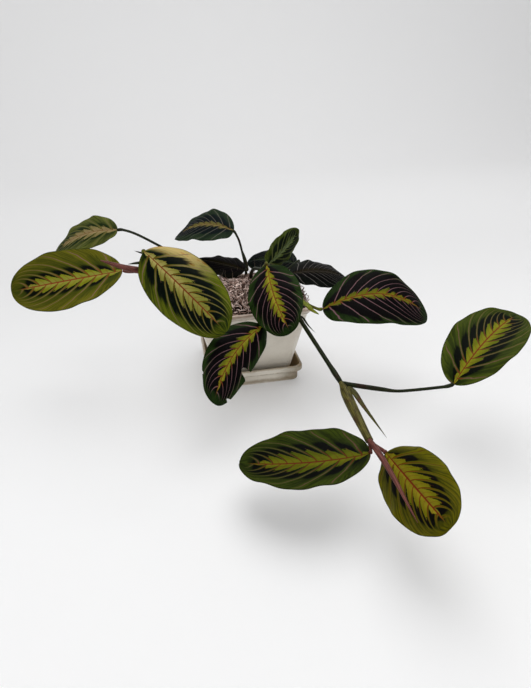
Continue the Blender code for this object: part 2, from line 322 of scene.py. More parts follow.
def makeLeafPattern():
    tree, given, out = newGroup("leafPattern", [
        ("Place", "NodeSocketVector", None),
        ("Veins", "NodeSocketFloat", 10.0),
        ("Band", "NodeSocketFloat", 0.3),
        ("Reach", "NodeSocketFloat", 0.7),
        ("Halo", "NodeSocketFloat", 0.1),
        ("Feather", "NodeSocketFloat", 0.3),
        ("Ragged", "NodeSocketFloat", 0.3),
        ("Width", "NodeSocketFloat", 0.03),
        ("Seed", "NodeSocketFloat", 0.0),
    ], ["Band", "Patch", "Vein", "Twig", "Midrib", "Streak", "Across", "Along", "Margin", "Mottle",
        "Hair", "Near"])
    along = splitPlace(tree, given["Place"])[0]
    signed = signedAcross(tree, given["Place"])
    spot = joinPlace(tree, along, signed, given["Seed"])
    wander = calc(tree, "SUBTRACT", noise(tree, spot, 3.0, 2.0), 0.5)
    mottle = noise(tree, spot, 7.0, 4.0, 0.6)
    fine = noise(tree, spot, 40.0, 2.0)
    # the place on the midrib where the side vein through here starts, as in veinStart
    across = calc(tree, "ABSOLUTE", signed)
    lean = calc(tree, "MULTIPLY", calc(tree, "POWER", calc(tree, "MAXIMUM", across, 0.0001), veinPower),
                veinSweep)
    onePlus = calc(tree, "ADD", lean, 1.0)
    inner = calc(tree, "SUBTRACT", calc(tree, "MULTIPLY", onePlus, onePlus),
                 calc(tree, "MULTIPLY", calc(tree, "MULTIPLY", lean, along), 4.0))
    root = calc(tree, "SQRT", calc(tree, "MAXIMUM", inner, 0.0))
    start = calc(tree, "DIVIDE", calc(tree, "MULTIPLY", along, 2.0), calc(tree, "ADD", onePlus, root))
    # a little wander, so that no vein is a perfect curve
    start = calc(tree, "ADD", start, calc(tree, "MULTIPLY", calc(tree, "MULTIPLY", wander, across), 0.05))
    # veins counted from the base: the whole part numbers a lobe, the rest is the place across it
    side = calc(tree, "MULTIPLY", calc(tree, "GREATER_THAN", signed, 0.0), veinStagger)
    count = calc(tree, "ADD", calc(tree, "MULTIPLY", start, given["Veins"]), side)
    share = calc(tree, "FRACT", count)
    near = calc(tree, "SUBTRACT", 0.5, calc(tree, "ABSOLUTE", calc(tree, "SUBTRACT", share, 0.5)))
    # main side veins, thinner towards the margin
    thick = ramp(tree, across, 0.0, 1.0, 0.085, 0.042)
    vein = under(tree, near, calc(tree, "MULTIPLY", thick, 0.3), thick)
    vein = calc(tree, "MULTIPLY", vein, ramp(tree, across, 1.0, 0.88))
    vein = calc(tree, "MULTIPLY", vein, ramp(tree, start, 0.96, 0.86))
    # many fine veins between them
    hair = noise(tree, joinPlace(tree, calc(tree, "MULTIPLY", count, 4.2),
                                 calc(tree, "MULTIPLY", across, 0.5), given["Seed"]), 2.0, 3.0, 0.7)
    # a finer vein down the middle of each lobe
    centre = calc(tree, "ABSOLUTE", calc(tree, "SUBTRACT", share, 0.55))
    # jagged band: a lobe between two side veins, its corner towards the tip
    body = calc(tree, "MULTIPLY", ramp(tree, start, -0.10, 0.30, 0.45, 1.0),
                ramp(tree, start, 0.95, 0.60, 0.0, 1.0))
    rise = ramp(tree, share, 0.0, 0.62)
    fall = ramp(tree, share, 1.0, 0.80)
    lobe = calc(tree, "MULTIPLY", calc(tree, "POWER", rise, 0.7), fall)
    chance = tree.nodes.new("ShaderNodeTexWhiteNoise")
    chance.noise_dimensions = "1D"
    lobeNumber = calc(tree, "ADD", calc(tree, "FLOOR", count), calc(tree, "MULTIPLY_ADD", side, 90.0, 0.5))
    tree.links.new(calc(tree, "ADD", lobeNumber, given["Seed"]), chance.inputs["W"])
    own = calc(tree, "SUBTRACT", chance.outputs["Value"], 0.5)
    own = calc(tree, "MULTIPLY", own, given["Ragged"])
    lobe = calc(tree, "MULTIPLY", lobe, calc(tree, "MULTIPLY_ADD", own, 0.75, 1.0))
    tooth = calc(tree, "MULTIPLY", under(tree, centre, 0.0, 0.14), 0.22)
    jags = calc(tree, "ADD", swing(tree, fine, 0.9), swing(tree, mottle, 1.2))
    jags = calc(tree, "MULTIPLY", calc(tree, "ADD", tooth, jags), given["Ragged"])
    lobe = calc(tree, "ADD", lobe, jags)
    shape = calc(tree, "MULTIPLY_ADD", lobe, 0.82, 0.20)
    edge = calc(tree, "MULTIPLY", calc(tree, "MULTIPLY", body, given["Band"]), shape)
    band = under(tree, calc(tree, "SUBTRACT", across, edge), -0.014, 0.014)
    twigEnd = calc(tree, "MULTIPLY", edge, 1.1)
    twig = under(tree, centre, 0.012, 0.05)
    twig = calc(tree, "MULTIPLY", twig, calc(tree, "LESS_THAN", across, twigEnd))
    # dark patch from the band outwards, its outer end feathered into streaks
    streak = noise(tree, joinPlace(tree, calc(tree, "MULTIPLY", count, 6.0),
                                   calc(tree, "MULTIPLY", across, 1.2), given["Seed"]), 2.2, 3.0, 0.7)
    wide = calc(tree, "ADD", given["Band"], given["Reach"])
    wide = calc(tree, "MULTIPLY", wide, ramp(tree, near, 0.0, 0.32, 0.78, 1.0))
    fade = calc(tree, "ADD", wide, swing(tree, streak, given["Feather"]))
    fade = calc(tree, "MULTIPLY", fade, ramp(tree, start, 0.98, 0.70, 0.0, 1.0))
    fade = calc(tree, "MULTIPLY", fade, ramp(tree, start, -0.02, 0.16, 0.30, 1.0))
    soft = calc(tree, "MULTIPLY", given["Feather"], 0.35)
    patch = under(tree, across, calc(tree, "SUBTRACT", fade, soft), calc(tree, "ADD", fade, 0.03))
    # the patch stops short of the side veins
    gap = calc(tree, "ADD", given["Halo"], swing(tree, mottle, 0.12))
    clear = ramp(tree, near, calc(tree, "MULTIPLY", gap, 0.55), calc(tree, "MAXIMUM", gap, 0.02))
    patch = calc(tree, "MULTIPLY", patch, clear)
    midrib = under(tree, across, calc(tree, "MULTIPLY", given["Width"], 0.4), given["Width"])
    midrib = calc(tree, "MULTIPLY", midrib, ramp(tree, along, 0.98, 0.84))
    margin = ramp(tree, across, 0.965, 0.995)
    for label, value in (("Band", band), ("Patch", patch), ("Vein", vein), ("Twig", twig),
                         ("Midrib", midrib), ("Streak", streak), ("Across", across), ("Along", along),
                         ("Margin", margin), ("Mottle", mottle), ("Hair", hair), ("Near", near)):
        tree.links.new(value, out[label])
    return tree


leafLooks = {
    "olive": {
        "field": "#6d7414", "fieldDeep": "#34460d", "patch": "#070d04",
        "band": "#aeaa2e", "bandEdge": "#8a9416",
        "veinOuter": "#a47864", "veinInner": "#a8402a", "midrib": "#a8452a", "margin": "#3f4a10",
        "veins": 9.0, "bandWidth": 0.34, "reach": 0.26, "halo": 0.15, "feather": 0.24, "ragged": 0.6,
        "veinShow": 0.85, "blush": 0.0, "width": 0.030, "depth": 0.50,
    },
    "dark": {
        "field": "#2c4415", "fieldDeep": "#16280c", "patch": "#0a0406",
        "band": "#a49e28", "bandEdge": "#7d8418",
        "veinOuter": "#a87c84", "veinInner": "#a85c2c", "midrib": "#9c5a26", "margin": "#2b4514",
        "veins": 10.0, "bandWidth": 0.23, "reach": 0.50, "halo": 0.06, "feather": 0.22, "ragged": 1.0,
        "veinShow": 1.0, "blush": 0.0, "width": 0.030, "depth": 0.50,
    },
}


def makeLeafMaterial(name, pattern, look, seed):
    material, tree, shader = newMaterial(name, 0.5, 0.03)
    depth = look["depth"]
    bright, dim, vivid = depth * 1.3, depth * 0.8, depth * 1.45
    marks = useGroup(tree, pattern, {
        "Place": uvPlace(tree), "Veins": look["veins"], "Band": look["bandWidth"], "Reach": look["reach"],
        "Halo": look["halo"], "Feather": look["feather"], "Ragged": look["ragged"], "Width": look["width"],
        "Seed": seed})
    across, mottle = marks["Across"], marks["Mottle"]
    # dark green near the middle, lighter and yellower towards the margin, striped by the fine veins
    outward = ramp(tree, calc(tree, "ADD", across, swing(tree, mottle, 0.5)), look["bandWidth"] + 0.05, 1.0)
    colour = blendColour(tree, outward, paint(look["fieldDeep"], depth), paint(look["field"], bright))
    stripes = ramp(tree, marks["Hair"], 0.42, 0.58)
    colour = blendColour(tree, calc(tree, "MULTIPLY", stripes, 0.70), colour, paint(look["fieldDeep"], dim))
    halo = ramp(tree, marks["Near"], 0.24, 0.05, 0.0, 0.7)
    colour = blendColour(tree, halo, colour, paint(look["field"], bright))
    if look["blush"]:
        # one margin near the base has yellowed
        reachOut = ramp(tree, signedAcross(tree, uvPlace(tree)), -0.30, -0.85)
        early = ramp(tree, marks["Along"], 0.66, 0.20)
        spots = ramp(tree, mottle, 0.25, 0.55, 0.5, 1.0)
        yellow = calc(tree, "MULTIPLY", calc(tree, "MULTIPLY", reachOut, early), spots)
        yellow = calc(tree, "MULTIPLY", yellow, look["blush"])
        tone = blendColour(tree, ramp(tree, mottle, 0.52, 0.66), paint("#dcc47c", vivid),
                           paint("#cc8a42", bright))
        colour = blendColour(tree, yellow, colour, tone)
    colour = blendColour(tree, calc(tree, "MULTIPLY", marks["Patch"], 0.98), colour,
                         paint(look["patch"], depth))
    bandTone = blendColour(tree, ramp(tree, across, 0.0, look["bandWidth"]), paint(look["band"], vivid),
                           paint(look["bandEdge"], bright))
    bandTone = blendColour(tree, ramp(tree, mottle, 0.45, 0.7, 0.0, 0.5), bandTone,
                           paint(look["bandEdge"], depth))
    if look["blush"]:
        bandTone = blendColour(tree, ramp(tree, marks["Along"], 0.35, 0.80, 0.0, 0.85), bandTone,
                               paint(look["bandEdge"], bright))
    colour = blendColour(tree, marks["Band"], colour, bandTone)
    veinTone = blendColour(tree, ramp(tree, across, look["bandWidth"] * 0.6, look["bandWidth"] * 1.4),
                           paint(look["veinInner"], depth), paint(look["veinOuter"], depth))
    veinTone = blendColour(tree, ramp(tree, marks["Along"], 0.78, 0.92), veinTone,
                           paint(look["veinOuter"], depth))
    colour = blendColour(tree, calc(tree, "MULTIPLY", marks["Twig"], 0.45), colour, veinTone)
    colour = blendColour(tree, calc(tree, "MULTIPLY", marks["Vein"], look["veinShow"]), colour, veinTone)
    colour = blendColour(tree, marks["Midrib"], colour, paint(look["midrib"], depth))
    # the very tip is plain leaf
    plain = blendColour(tree, ramp(tree, mottle, 0.35, 0.65), paint(look["fieldDeep"], depth),
                        paint(look["field"], depth))
    colour = blendColour(tree, ramp(tree, marks["Along"], 0.875, 0.96, 0.0, 0.9), colour, plain)
    colour = blendColour(tree, calc(tree, "MULTIPLY", marks["Margin"], 0.8), colour,
                         paint(look["margin"], depth))
    tree.links.new(colour, shader.inputs["Base Color"])
    rough = calc(tree, "MULTIPLY_ADD", mottle, 0.22, 0.40)
    tree.links.new(rough, shader.inputs["Roughness"])
    height = calc(tree, "SUBTRACT", calc(tree, "MULTIPLY", marks["Hair"], 0.5),
                  calc(tree, "MULTIPLY", calc(tree, "MAXIMUM", marks["Vein"], marks["Midrib"]), 0.6))
    bump(tree, shader, height, 0.5, 0.0005)
    return material


def makeUnderside(name, pattern, tones, seed):
    # tones: two of the blade, then the band and side veins, then the midrib
    material, tree, shader = newMaterial(name, 0.5, 0.15)
    marks = useGroup(tree, pattern, {"Place": uvPlace(tree), "Veins": 10.0, "Band": 0.25,
                                     "Width": 0.05, "Seed": seed})
    colour = blendColour(tree, ramp(tree, marks["Mottle"], 0.3, 0.7), paint(tones[0]), paint(tones[1]))
    colour = blendColour(tree, calc(tree, "MULTIPLY", marks["Band"], 0.35), colour, paint(tones[2]))
    colour = blendColour(tree, calc(tree, "MULTIPLY", marks["Vein"], 0.6), colour, paint(tones[2]))
    colour = blendColour(tree, marks["Midrib"], colour, paint(tones[3]))
    tree.links.new(colour, shader.inputs["Base Color"])
    height = calc(tree, "ADD", calc(tree, "MULTIPLY", marks["Streak"], 0.3), marks["Vein"])
    bump(tree, shader, height, 0.5, 0.0005)
    return material


# leaf blades, one for each CAD leaf (millimetres and degrees)

blades = {
    "leaf_back_left": {
        "base": (-116, 8, 152), "tip": (-182, 41, 125), "width": 38, "roll": -36, "arch": 6, "droop": 0,
        "bow": 4, "twist": 14, "look": "olive",
        "change": {"depth": 0.58, "band": "#94805a", "bandEdge": "#857a4a", "patch": "#1f3012",
                   "veinOuter": "#7a6c48", "veinInner": "#8a6a3c",
                   "midrib": "#8c6c40", "veins": 8.0, "bandWidth": 0.30, "reach": 0.24, "halo": 0.20,
                   "ragged": 1.0, "field": "#646a2c", "fieldDeep": "#38421e"}},
    "leaf_far_left": {
        "base": (-113, -36, 128), "tip": (-210, -26, 114), "width": 55, "roll": -47, "arch": 5, "droop": -4,
        "bow": -2, "twist": -30, "look": "olive",
        "change": {"depth": 0.45, "field": "#77731c", "fieldDeep": "#4a5410", "bandWidth": 0.26,
                   "reach": 0.19, "halo": 0.20, "veins": 9.0, "patch": "#070d06", "band": "#9c9a40"}},
    "leaf_front_left": {
        "base": (-91, -57, 150), "tip": (-34, -120, 100), "width": 54, "roll": 48, "arch": 3, "droop": 9,
        "bow": -1, "twist": 17, "look": "olive",
        "change": {"depth": 0.40, "patch": "#04100a", "band": "#beb266", "bandEdge": "#98983c",
                   "blush": 1.0, "veins": 9.0, "bandWidth": 0.30,
                   "reach": 0.46, "feather": 0.36, "veinOuter": "#b08c70", "veinInner": "#8c5226",
                   "field": "#768018", "fieldDeep": "#24380c", "halo": 0.14}},
    "leaf_top": {
        "base": (-4, 45, 133), "tip": (-63, 83, 120), "width": 46, "roll": -27, "arch": 9, "droop": 1,
        "bow": 5, "twist": 17, "look": "dark",
        "change": {"depth": 0.42, "patch": "#0a191b", "band": "#8a7c48", "bandEdge": "#6f6c36",
                   "veinOuter": "#7f7870", "field": "#2f4028", "fieldDeep": "#1b2c22", "bandWidth": 0.17,
                   "veinInner": "#8a6a3c", "midrib": "#8f7440", "margin": "#2c3e24"}},
    # painted shade: this leaf lies deep under the others; its tones are the leaf's own, darkened much
    # further to stand for the shade it lies in
    "leaf_shade_left": {
        "base": (3, 24, 97), "tip": (-43, 54, 103), "width": 30, "roll": -21, "arch": 0, "droop": 4,
        "bow": 2, "twist": 19, "look": "dark",
        "change": {"depth": 0.26, "patch": "#0c0709", "band": "#2c2a14", "bandEdge": "#1d1d10",
                   "veinOuter": "#33221f", "field": "#191a0e", "fieldDeep": "#100f0a",
                   "veinInner": "#3d2418", "midrib": "#40301a"}},
    # painted shade: this leaf lies behind the others; its tones are the leaf's own, darkened much further
    # to stand for the shade it lies in
    "leaf_shade_back": {
        "base": (56, 19, 101), "tip": (11, 54, 96), "width": 34, "roll": -29, "arch": 2, "droop": 2,
        "bow": 3, "twist": -4, "look": "dark",
        "change": {"depth": 0.28, "band": "#3a4a2c", "bandEdge": "#2c3a24", "midrib": "#5a6450",
                   "veinInner": "#5a6450", "patch": "#0b1415", "veinOuter": "#5a5550", "field": "#1d2c22",
                   "fieldDeep": "#13201a"}},
    "leaf_young": {
        "base": (20, -14, 114), "tip": (59, 20, 136), "width": 24, "roll": 69, "arch": 2, "droop": 4,
        "bow": 1, "twist": 8, "look": "olive",
        "change": {"depth": 0.32, "field": "#5a6a20", "fieldDeep": "#2f3a12", "patch": "#101d0b",
                   "band": "#74825a", "bandEdge": "#5c6c30", "veinOuter": "#7a7458", "bandWidth": 0.27,
                   "ragged": 1.3, "margin": "#7c8c20", "midrib": "#5f6c3c", "reach": 0.5,
                   "veinInner": "#8a9058", "veins": 8.0}},
    "leaf_centre": {
        "base": (15, -38, 122), "tip": (19, -116, 91), "width": 48, "roll": 29, "arch": 1, "droop": 2,
        "bow": 3, "twist": 30, "look": "dark", "change": {"depth": 0.42, "bandWidth": 0.25, "reach": 0.58}},
    # painted shade: this leaf lies under the others; its tones are the leaf's own, darkened much further to
    # stand for the shade it lies in
    "leaf_shade_right": {
        "base": (39, -32, 110), "tip": (105, -1, 87), "width": 34, "roll": 33, "arch": 6, "droop": 5,
        "bow": -2, "twist": 3, "look": "dark",
        "change": {"depth": 0.24, "patch": "#14120f", "veinOuter": "#b4aca6", "field": "#1d241a",
                   "fieldDeep": "#151a14", "band": "#3a3422", "bandEdge": "#282618", "veinInner": "#6a5a4c",
                   "veins": 12.0, "midrib": "#3a302c"}},
    "leaf_right": {
        "base": (61, -64, 85), "tip": (164, -66, 69), "width": 60, "roll": 34, "arch": 17, "droop": 3,
        "bow": -9, "twist": 9, "look": "dark",
        "change": {"depth": 0.38, "veins": 11.0, "bandWidth": 0.15, "reach": 0.80, "ragged": 1.5,
                   "band": "#928c20", "bandEdge": "#6f7614"}},
    "leaf_hanging": {
        "base": (2, -83, 84), "tip": (-49, -141, 49), "width": 42, "roll": -43, "arch": 2, "droop": 6,
        "bow": 8, "twist": 2, "look": "dark",
        "change": {"depth": 0.38, "bandWidth": 0.22, "reach": 0.62, "veins": 9.0},
        "tears": ((0.54, -1, 0.42, 0.055), (0.88, -1, 0.22, 0.018), (0.80, 1, 0.06, 0.018))},
    "leaf_far_right": {
        "base": (135, -173, 61), "tip": (210, -132, 94), "width": 54, "roll": 4, "arch": 11, "droop": -3,
        "bow": 0, "twist": 9, "look": "olive",
        "change": {"depth": 0.36, "band": "#a09e24", "bandEdge": "#7c8a14", "field": "#5c6a1c",
                   "fieldDeep": "#33420f", "patch": "#0a1006", "reach": 0.36,
                   "bandWidth": 0.28, "veins": 10.0}},
    "leaf_low_front": {
        "base": (51, -219, 45), "tip": (-37, -192, 30), "width": 54, "roll": -7, "arch": 2, "droop": -5,
        "bow": -6, "twist": 4, "look": "olive",
        "change": {"depth": 0.24, "field": "#5a6c1c", "fieldDeep": "#2c390c", "patch": "#070a05",
                   "reach": 0.28, "bandWidth": 0.33, "veins": 9.0, "halo": 0.22, "feather": 0.16,
                   "veinInner": "#a24628", "band": "#96961c", "bandEdge": "#74820e"}},
    "leaf_low_right": {
        "base": (61, -222, 46), "tip": (63, -304, 61), "width": 45, "roll": 45, "arch": 1, "droop": 5,
        "bow": 0, "twist": 0, "look": "olive",
        "change": {"depth": 0.34, "field": "#888208", "fieldDeep": "#474a0a", "patch": "#0d0a06",
                   "reach": 0.24, "feather": 0.10, "halo": 0.22, "width": 0.040, "band": "#a89a24",
                   "bandEdge": "#8c8c10", "bandWidth": 0.37, "veins": 9.0, "veinInner": "#a4381c",
                   "midrib": "#a8421e", "veinOuter": "#7a4a22"}},
}

bladeBuild = {
    "rows": 100, "columns": 48, "thickness": 0.55,
    "baseHalf": 1.2, "tipHalf": 0.25,
    "skew": 0.14,       # how much fuller the half towards the base is
    "groove": 0.7,      # depth of the midrib groove
    "grooveHalf": 1.3,  # and its half width
    "quilt": 0.34,      # how far the blade swells between two side veins
    "ripple": 1.0,      # waviness of the margin
}


def bladeFrame(blade):
    base, tip = Vector(blade["base"]), Vector(blade["tip"])
    along = (tip - base).normalized()
    up = (Vector((0, 0, 1)) - along * along.z).normalized()
    return base, (tip - base).length, along, up, along.cross(up)


def halfOutline(u):
    return math.sqrt(max(0.0, 4 * u * (1 - u))) * (1 + bladeBuild["skew"] * (0.5 - u))


def tearDepth(blade, u, side):
    # how much of the half width is missing at u on this side
    lost = 0.0
    for middle, tornSide, depth, reach in blade.get("tears", ()):
        if tornSide == side:
            lost = max(lost, depth * math.sqrt(max(0.0, 1 - ((u - middle) / reach) ** 2)))
    return lost


def bladePoint(blade, u, v, lift=0.0):
    # point of a blade: u from base to tip, v from -1 to 1 across; lift is along its normal
    base, length, along, up, side = blade["frame"]
    turn = math.radians(blade["roll"])
    normal = up * math.cos(turn) + side * math.sin(turn)
    sideways = side * math.cos(turn) - up * math.sin(turn)
    here = math.radians(blade["roll"] + blade["twist"] * (u - 0.5))
    normalHere = up * math.cos(here) + side * math.sin(here)
    sidewaysHere = side * math.cos(here) - up * math.sin(here)
    hump = 4 * u * (1 - u)
    outline = halfOutline(u)
    half = max(blade["width"] / 2 * outline, mix(bladeBuild["baseHalf"], bladeBuild["tipHalf"], u))
    point = base + along * length * u + normal * blade["arch"] * hump + sideways * blade["bow"] * hump
    return point + sidewaysHere * half * v - normalHere * (blade["droop"] * v * v * outline - lift), half


def bladeRelief(blade, u, v, half):
    # groove along the midrib, swelling between side veins, and a wavy margin
    t = abs(v)
    ends = smooth(0.0, 0.08, u) * smooth(1.0, 0.9, u)
    count = veinStart(u, t) * blade["veins"] + (veinStagger if v > 0 else 0.0)
    swell = abs(math.sin(math.pi * count)) ** 0.8 - 0.6
    swell *= bladeBuild["quilt"] * ends * smooth(0.03, 0.2, t) * smooth(1.02, 0.8, t)
    groove = -bladeBuild["groove"] * math.exp(-((half * v) / bladeBuild["grooveHalf"]) ** 2) * ends
    phase = blade["seed"] * 1.7 + (2.0 if v > 0 else 0.0)
    wave = math.sin(u * 17 + phase) + 0.5 * math.sin(u * 31 + phase * 2)
    return swell + groove + bladeBuild["ripple"] * wave * t ** 4 * ends


def growBlade(node, blade, materials):
    bpy.ops.mesh.primitive_grid_add(x_subdivisions=bladeBuild["rows"], y_subdivisions=bladeBuild["columns"],
                                    size=2, location=(0, 0, 0))
    leaf = bpy.context.object
    mesh = leaf.data
    places, marks = [], []
    for vertex in mesh.vertices:
        u = (1 - math.cos(math.pi * (vertex.co.x + 1) / 2)) / 2
        v = -vertex.co.y
        v *= 1 - tearDepth(blade, u, 1 if v > 0 else -1)
        _, half = bladePoint(blade, u, v)
        point, _ = bladePoint(blade, u, v, bladeRelief(blade, u, v, half))
        places.append(point * mm)
        marks.append((u, (v + 1) / 2))
    for vertex, place in zip(mesh.vertices, places):
        vertex.co = place
    layer = mesh.uv_layers[0]
    layer.name = "UVMap"
    for loop in mesh.loops:
        layer.data[loop.index].uv = marks[loop.vertex_index]
    mesh.update()
    solid = leaf.modifiers.new("thickness", "SOLIDIFY")
    solid.thickness = bladeBuild["thickness"] * mm
    solid.offset = 0.0
    solid.material_offset = 1
    solid.material_offset_rim = 0
    solid.use_rim = True
    applyModifiers(leaf)
    bpy.ops.object.shade_smooth()
    settle(leaf, "fine_" + node, materials, "leaf_dark" if blade["look"] == "dark" else "leaf_light", node)


def makeBlades():
    pattern = makeLeafPattern()
    undersides = {
        "olive": makeUnderside("leafUndersideOlive", pattern,
                               ("#5d5a35", "#6b5040", "#7d7a4a", "#8a8450"), 3.0),
        "dark": makeUnderside("leafUndersideWine", pattern, ("#4a2030", "#5c2c3a", "#6d5a44", "#7d7a48"),
                              5.0),
    }
    for seed, (node, blade) in enumerate(blades.items()):
        blade["frame"] = bladeFrame(blade)
        blade["seed"] = seed
        look = {**leafLooks[blade["look"]], **blade["change"]}
        blade["veins"] = look["veins"]
        face = makeLeafMaterial(node + "_face", pattern, look, seed * 3.1)
        growBlade(node, blade, [face, undersides[blade["look"]]])
    print("leaf blades ready")


# stems, petioles, sheaths, bracts and rolled leaves

def smoothRoute(points, steps):
    points = [Vector(p) for p in points]
    ends = [2 * points[0] - points[1], *points, 2 * points[-1] - points[-2]]
    route = []
    for i in range(1, len(ends) - 2):
        a, b, c, d = ends[i - 1:i + 3]
        for k in range(steps):
            t = k / steps
            route.append(0.5 * (2 * b + (c - a) * t + (2 * a - 5 * b + 4 * c - d) * t * t
                                + (3 * b - a - 3 * c + d) * t ** 3))
    return route + [points[-1]]


def rollTube(name, points, radiusAt, steps=6, around=16, flat=1.0, wobble=0.0):
    # a grid rolled up around a route, closed at the seam and at both ends
    route = smoothRoute(points, steps)
    last = len(route) - 1
    bpy.ops.mesh.primitive_grid_add(x_subdivisions=last, y_subdivisions=around, size=2, location=(0, 0, 0))
    tube = bpy.context.object
    mesh = tube.data
    tangents = [(route[min(i + 1, last)] - route[max(i - 1, 0)]).normalized() for i in range(last + 1)]
    side = tangents[0].cross(Vector((0, 0, 1)))
    side = (side if side.length > 0.1 else Vector((1, 0, 0))).normalized()
    frames = []
    for tangent in tangents:
        side = (side - tangent * side.dot(tangent)).normalized()
        frames.append((side.copy(), tangent.cross(side)))
    marks = []
    for vertex in mesh.vertices:
        u, v = (vertex.co.x + 1) / 2, (vertex.co.y + 1) / 2
        i = round(u * last)
        angle = 2 * math.pi * v
        radius = radiusAt(u) * (1 + wobble * math.sin(angle * 3 + u * 9))
        across, over = frames[i]
        vertex.co = (route[i] + across * radius * math.cos(angle)
                             + over * radius * flat * math.sin(angle)) * mm
        marks.append((u, v))
    layer = mesh.uv_layers[0]
    layer.name = "UVMap"
    for loop in mesh.loops:
        layer.data[loop.index].uv = marks[loop.vertex_index]
    pickOnly(tube)
    bpy.ops.object.mode_set(mode="EDIT")
    bpy.ops.mesh.select_all(action="SELECT")
    bpy.ops.mesh.remove_doubles(threshold=weldGap)
    bpy.ops.mesh.fill_holes(sides=0)
    bpy.ops.mesh.select_all(action="SELECT")
    bpy.ops.mesh.normals_make_consistent(inside=False)
    bpy.ops.object.mode_set(mode="OBJECT")
    bpy.ops.object.shade_smooth()
    tube.name = name
    return tube


stemLooks = {
    "stem_dark": {"light": "#22280f", "deep": "#090b05", "blush": "#25130d"},
    "stem_green": {"light": "#626620", "deep": "#363a12", "blush": "#463a1a"},
    "stem_pink": {"light": "#74463e", "deep": "#3c1f1c", "blush": "#553028"},
    "bract": {"light": "#4c4a1c", "deep": "#242010", "blush": "#402418"},
}


def makeStemMaterial(name, look):
    material, tree, shader = newMaterial(name, 0.5, 0.08)
    place = splitPlace(tree, uvPlace(tree))
    # noise on a ring round the stem, so that it meets itself at the seam
    around = calc(tree, "MULTIPLY", place[1], 2 * math.pi)
    ring = joinPlace(tree, calc(tree, "MULTIPLY", place[0], 2.5),
                     calc(tree, "MULTIPLY", calc(tree, "SINE", around), 2.0),
                     calc(tree, "MULTIPLY", calc(tree, "COSINE", around), 2.0))
    lines = noise(tree, ring, 2.5, 4.0, 0.65)
    blotch = noise(tree, objectPlace(tree), 90.0, 3.0)
    colour = blendColour(tree, ramp(tree, lines, 0.38, 0.62), paint(look["deep"]), paint(look["light"]))
    colour = blendColour(tree, ramp(tree, blotch, 0.52, 0.70, 0.0, 0.8), colour, paint(look["blush"]))
    tree.links.new(colour, shader.inputs["Base Color"])
    tree.links.new(calc(tree, "MULTIPLY_ADD", blotch, 0.25, 0.32), shader.inputs["Roughness"])
    bump(tree, shader, lines, 0.5, 0.0004)
    return material


jointSwell, jointReach = 0.28, 0.02     # how far a joint stands out, and its length as a share of the stem
footSwell = 0.55                        # how far the sheathing foot of a petiole stands out

# route, radius at start and end, finish, and the places of swollen joints along the route
stems = {
    "crown": {"route": ((22, -12, 66), (22, -12, 82), (22, -13, 99)), "radii": (4.6, 3.2),
              "finish": "stem_green"},
    "shoot_left": {"route": ((-37, 4, 68), (-38, 3, 88), (-42, -12, 110), (-56, -31, 125), (-88, -49, 133)),
                   "radii": (2.2, 1.9), "finish": "stem_dark", "knots": (0.70, 0.97)},
    "shoot_right": {"route": ((28, -26, 68), (29, -30, 84), (31, -50, 92), (35, -84, 86), (51, -151, 61)),
                    "radii": (2.1, 1.8), "finish": "stem_dark", "knots": (0.72, 0.97)},
    "shoot_middle": {"route": ((10, 28, 68), (9, 24, 90), (9, 0, 106), (13, -20, 112), (14, -27, 116)),
                     "radii": (1.9, 1.6), "finish": "stem_dark", "knots": (0.88,)},
}


def stemRadius(stem):
    def radiusAt(u):
        first, last = stem["radii"]
        radius = mix(first, last, u)
        for knot in stem.get("knots", ()):
            radius *= 1 + jointSwell * math.exp(-((u - knot) / jointReach) ** 2)
        return radius
    return radiusAt


